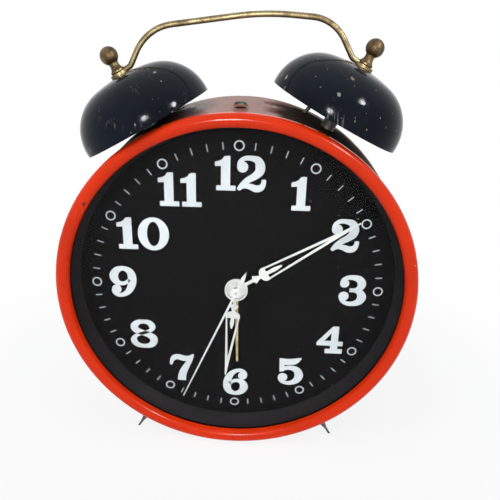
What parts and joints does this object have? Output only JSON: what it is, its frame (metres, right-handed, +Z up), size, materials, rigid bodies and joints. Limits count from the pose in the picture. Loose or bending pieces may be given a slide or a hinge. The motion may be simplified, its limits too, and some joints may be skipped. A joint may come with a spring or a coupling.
{
  "type": "twin-bell alarm clock",
  "caption": "Wind-up alarm clock: round red metal drum with a glazed black dial, white numerals and hands, black bells, brass carrying handle and spiked feet.",
  "frame": {"origin": "middle of the bounding box on the surface that the clock stands on", "axes": "+Z up through the bells and handle, -Y out of the dial towards the reader, +X to the right of the dial as it is read"},
  "size_m": [0.2125, 0.1048, 0.2596],
  "materials": {
    "red_enamel": "gloss",
    "black_enamel": "gloss",
    "clear_glass": "polished",
    "matt_black": "matt",
    "dial_black": "matt",
    "plated_steel": "plated",
    "old_brass": "tarnished",
    "dark_steel": "satin",
    "movement_brass": "satin",
    "spring_steel": "blued",
    "white_hand": "satin",
    "brass_hand": "satin"
  },
  "bodies": {
    "case": {"case_shell": "red_enamel", "bezel": "red_enamel", "crystal": "clear_glass", "rehaut_ring": "matt_black", "dial": "dial_black", "back_cover": "red_enamel", "case_screws": "plated_steel", "left_bell": "black_enamel", "right_bell": "black_enamel", "bell_posts": "plated_steel", "bell_sleeves": "plated_steel", "hex_nuts": "plated_steel", "finials": "old_brass", "carry_handle": "old_brass", "front_feet": "dark_steel", "front_plate": "movement_brass", "back_plate": "movement_brass", "pillars": "plated_steel", "time_mainspring": "spring_steel", "alarm_mainspring": "spring_steel", "hairspring": "spring_steel", "alarm_release_spring": "spring_steel"},
    "seconds": {"fourth_arbor": "plated_steel", "fourth_wheel": "movement_brass", "second_hand": "white_hand"},
    "third": {"third_arbor": "plated_steel", "third_wheel": "movement_brass"},
    "centre": {"centre_arbor": "plated_steel", "centre_wheel": "movement_brass"},
    "time_great": {"time_great_wheel": "movement_brass"},
    "escape": {"escape_arbor": "plated_steel", "escape_wheel": "movement_brass"},
    "time_winder": {"time_winding_arbor": "plated_steel", "time_ratchet": "plated_steel", "time_winding_key": "plated_steel"},
    "time_click": {"time_click": "plated_steel"},
    "minute": {"cannon_pinion": "movement_brass", "minute_hand": "white_hand"},
    "time_setter": {"minute_wheel": "movement_brass", "time_set_knob": "plated_steel"},
    "hour": {"hour_wheel": "movement_brass", "hour_hand": "white_hand"},
    "alarm_setter": {"alarm_set_arbor": "plated_steel", "alarm_set_knob": "plated_steel"},
    "alarm_pointer": {"alarm_wheel": "movement_brass", "alarm_hand": "brass_hand"},
    "alarm_escape": {"alarm_escape_wheel": "movement_brass"},
    "alarm_second": {"alarm_second_wheel": "movement_brass"},
    "alarm_great": {"alarm_great_wheel": "movement_brass"},
    "alarm_winder": {"alarm_winding_arbor": "plated_steel", "alarm_ratchet": "plated_steel", "alarm_winding_key": "plated_steel"},
    "alarm_click": {"alarm_click": "plated_steel"},
    "hammer": {"hammer_rocker": "plated_steel", "hammer_heads": "movement_brass"},
    "pallet": {"pallet_lever": "plated_steel"},
    "balance": {"balance_staff": "plated_steel", "balance_wheel": "movement_brass"},
    "regulator": {"regulator_lever": "plated_steel"},
    "alarm_stop": {"alarm_stop_rod": "plated_steel"}
  },
  "joints": [
    {"name": "second_hand_turn", "type": "hinge", "parent": "case", "child": "seconds", "pos_m": [0, -0.0301, 0.10625], "axis": [0, 1, 0], "continuous": true},
    {"name": "third_wheel_turn", "type": "hinge", "parent": "case", "child": "third", "pos_m": [-0.02338, -0.0301, 0.09275], "axis": [0, 1, 0], "continuous": true},
    {"name": "centre_wheel_turn", "type": "hinge", "parent": "case", "child": "centre", "pos_m": [0, -0.0301, 0.10625], "axis": [0, 1, 0], "continuous": true},
    {"name": "time_great_wheel_turn", "type": "hinge", "parent": "case", "child": "time_great", "pos_m": [0.03274, -0.0301, 0.08735], "axis": [0, 1, 0], "continuous": true},
    {"name": "escape_wheel_turn", "type": "hinge", "parent": "case", "child": "escape", "pos_m": [0.01909, -0.0301, 0.12534], "axis": [0, 1, 0], "continuous": true},
    {"name": "time_winding", "type": "hinge", "parent": "time_great", "child": "time_winder", "pos_m": [0.03274, -0.0301, 0.08735], "axis": [0, 1, 0], "continuous": true},
    {"name": "time_click_lift", "type": "hinge", "parent": "time_great", "child": "time_click", "pos_m": [0.03874, -0.0301, 0.09774], "axis": [0, 1, 0], "range_deg": [0, 12]},
    {"name": "minute_hand_set", "type": "hinge", "parent": "case", "child": "minute", "pos_m": [0, -0.0301, 0.10625], "axis": [0, 1, 0], "continuous": true},
    {"name": "minute_wheel_turn", "type": "hinge", "parent": "case", "child": "time_setter", "pos_m": [-0.01909, -0.0301, 0.12534], "axis": [0, 1, 0], "continuous": true},
    {"name": "hour_hand_turn", "type": "hinge", "parent": "case", "child": "hour", "pos_m": [0, -0.0301, 0.10625], "axis": [0, 1, 0], "continuous": true},
    {"name": "alarm_set", "type": "hinge", "parent": "case", "child": "alarm_setter", "pos_m": [0.00486, -0.0301, 0.13383], "axis": [0, 1, 0], "continuous": true},
    {"name": "alarm_hand_turn", "type": "hinge", "parent": "case", "child": "alarm_pointer", "pos_m": [0, -0.0301, 0.10625], "axis": [0, 1, 0], "continuous": true},
    {"name": "alarm_escape_wheel_turn", "type": "hinge", "parent": "case", "child": "alarm_escape", "pos_m": [-0.01233, -0.0301, 0.15676], "axis": [0, 1, 0], "continuous": true},
    {"name": "alarm_second_wheel_turn", "type": "hinge", "parent": "case", "child": "alarm_second", "pos_m": [-0.03051, -0.0301, 0.14942], "axis": [0, 1, 0], "continuous": true},
    {"name": "alarm_great_wheel_turn", "type": "hinge", "parent": "case", "child": "alarm_great", "pos_m": [-0.05007, -0.0301, 0.13052], "axis": [0, 1, 0], "continuous": true},
    {"name": "alarm_winding", "type": "hinge", "parent": "alarm_great", "child": "alarm_winder", "pos_m": [-0.05007, -0.0301, 0.13052], "axis": [0, 1, 0], "continuous": true},
    {"name": "alarm_click_lift", "type": "hinge", "parent": "alarm_great", "child": "alarm_click", "pos_m": [-0.04174, -0.0301, 0.12189], "axis": [0, 1, 0], "range_deg": [0, 12]},
    {"name": "hammer_swing", "type": "hinge", "parent": "case", "child": "hammer", "pos_m": [0, -0.0301, 0.16225], "axis": [0, 1, 0], "range_deg": [-4, 4]},
    {"name": "pallet_swing", "type": "hinge", "parent": "case", "child": "pallet", "pos_m": [0.0297, -0.0301, 0.13595], "axis": [0, 1, 0], "range_deg": [-3, 3]},
    {"name": "balance_swing", "type": "hinge", "parent": "case", "child": "balance", "pos_m": [0.04172, -0.0301, 0.14797], "axis": [0, 1, 0], "range_deg": [-220, 220]},
    {"name": "regulator_swing", "type": "hinge", "parent": "case", "child": "regulator", "pos_m": [0.04172, -0.0301, 0.14797], "axis": [0, 1, 0], "range_deg": [-12, 12]},
    {"name": "alarm_stop_pull", "type": "slide", "parent": "case", "child": "alarm_stop", "axis": [0, 1, 0], "range_m": [0, 0.005]}
  ],
  "couplings": [
    {"joint": "third_wheel_turn", "follows": "second_hand_turn", "ratio": -0.13333},
    {"joint": "centre_wheel_turn", "follows": "second_hand_turn", "ratio": 0.016667},
    {"joint": "time_great_wheel_turn", "follows": "second_hand_turn", "ratio": -0.0027778},
    {"joint": "escape_wheel_turn", "follows": "second_hand_turn", "ratio": -8},
    {"joint": "minute_wheel_turn", "follows": "minute_hand_set", "ratio": -0.33333},
    {"joint": "hour_hand_turn", "follows": "minute_hand_set", "ratio": 0.083333},
    {"joint": "alarm_hand_turn", "follows": "alarm_set", "ratio": -0.14286},
    {"joint": "alarm_second_wheel_turn", "follows": "alarm_escape_wheel_turn", "ratio": -0.16667},
    {"joint": "alarm_great_wheel_turn", "follows": "alarm_escape_wheel_turn", "ratio": 0.022222}
  ]
}
